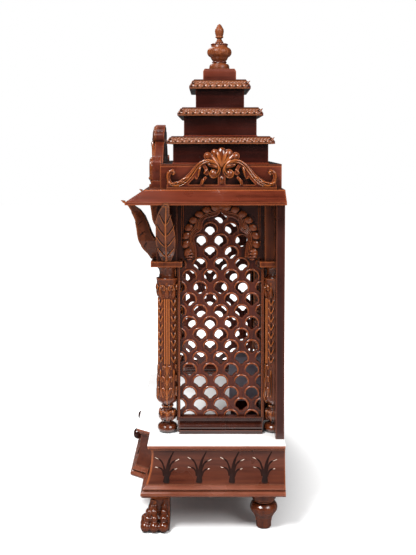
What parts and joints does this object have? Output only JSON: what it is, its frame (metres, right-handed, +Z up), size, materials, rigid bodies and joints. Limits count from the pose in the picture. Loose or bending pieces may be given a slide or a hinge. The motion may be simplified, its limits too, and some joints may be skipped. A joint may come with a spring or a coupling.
{
  "type": "pooja mandir",
  "caption": "Carved wooden house shrine: moulded base with a drawer, turned columns, pierced side screens, sloping eave and a tiered tower with a melon finial.",
  "frame": {"origin": "centre of the bounding box's bottom face, on the floor under the feet", "axes": "+Z up; the open front with the drawer looks along -Y; +X is the side that the picture shows, to the right of a viewer who faces the front"},
  "size_m": [0.88, 0.482, 1.519],
  "materials": {
    "stained_wood": "gloss",
    "dark_stained_wood": "gloss",
    "plain_wood": "satin",
    "white_slab": "gloss",
    "grey_laminate": "satin"
  },
  "bodies": {
    "shrine": {"paw_foot_left": "stained_wood", "paw_foot_right": "stained_wood", "turned_foot_left": "stained_wood", "turned_foot_right": "stained_wood", "base_plinth": "stained_wood", "base_board": "stained_wood", "base_side_left": "stained_wood", "base_side_right": "stained_wood", "base_front_left": "stained_wood", "base_front_right": "stained_wood", "base_back": "stained_wood", "base_crown": "stained_wood", "floor_slab": "white_slab", "runner_left": "plain_wood", "runner_right": "plain_wood", "back_panel": "stained_wood", "column_front_left": "stained_wood", "column_front_right": "stained_wood", "column_rear_left": "stained_wood", "column_rear_right": "stained_wood", "post_front_left": "stained_wood", "post_front_right": "stained_wood", "screen_frame_left": "stained_wood", "screen_frame_right": "stained_wood", "jali_left": "stained_wood", "jali_right": "stained_wood", "leaf_front_left": "stained_wood", "leaf_front_right": "stained_wood", "leaf_side_left": "stained_wood", "leaf_side_right": "stained_wood", "front_arch": "stained_wood", "ceiling_board": "stained_wood", "eave_skirt": "stained_wood", "frieze_box": "stained_wood", "frieze_top": "stained_wood", "crest_front": "stained_wood", "crest_left": "stained_wood", "crest_right": "stained_wood", "tower_tier_0": "dark_stained_wood", "tower_tier_1": "dark_stained_wood", "tower_tier_2": "dark_stained_wood", "tower_cap": "dark_stained_wood", "finial": "dark_stained_wood", "side_pedestal": "grey_laminate", "pedestal_foot": "dark_stained_wood"},
    "drawer": {"drawer_front": "stained_wood", "drawer_box": "plain_wood", "drawer_knob_left": "dark_stained_wood", "drawer_knob_right": "dark_stained_wood"}
  },
  "joints": [
    {"name": "drawer_slide", "type": "slide", "parent": "shrine", "child": "drawer", "axis": [0, -1, 0], "range_m": [0, 0.22]}
  ]
}
